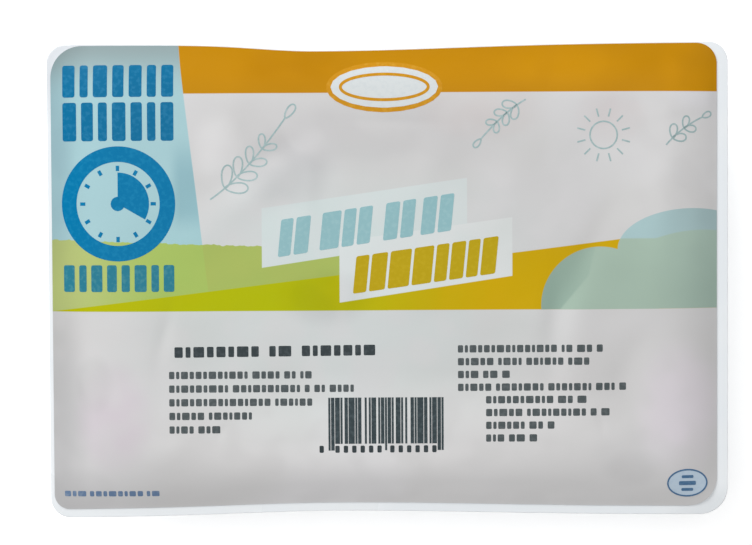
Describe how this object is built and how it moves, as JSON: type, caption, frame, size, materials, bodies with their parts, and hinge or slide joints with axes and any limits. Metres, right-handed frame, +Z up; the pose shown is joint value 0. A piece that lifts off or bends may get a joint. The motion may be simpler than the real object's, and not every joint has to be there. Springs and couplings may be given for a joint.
{
  "type": "meat tray pack",
  "caption": "Shut rectangular meat tray pack: a shallow thermoformed plastic tray with a flange, under a domed printed film with rounded corners and slightly waisted long sides.",
  "frame": {"origin": "middle of the pack's base, on the plane that it rests on", "axes": "+X runs along the long sides, to the right of the print; +Y points to the back long side, the top edge of the print; +Z points up out of the printed film"},
  "size_m": [0.1816, 0.1264, 0.0239],
  "materials": {
    "clear_plastic": "pale milky clear thermoformed plastic, smooth, semi-gloss",
    "printed_film": "thin white film printed in flat fields of colour, satin, with soft swells and dents"
  },
  "bodies": {
    "root": {"tray": "clear_plastic", "top_film": "printed_film"}
  },
  "joints": []
}
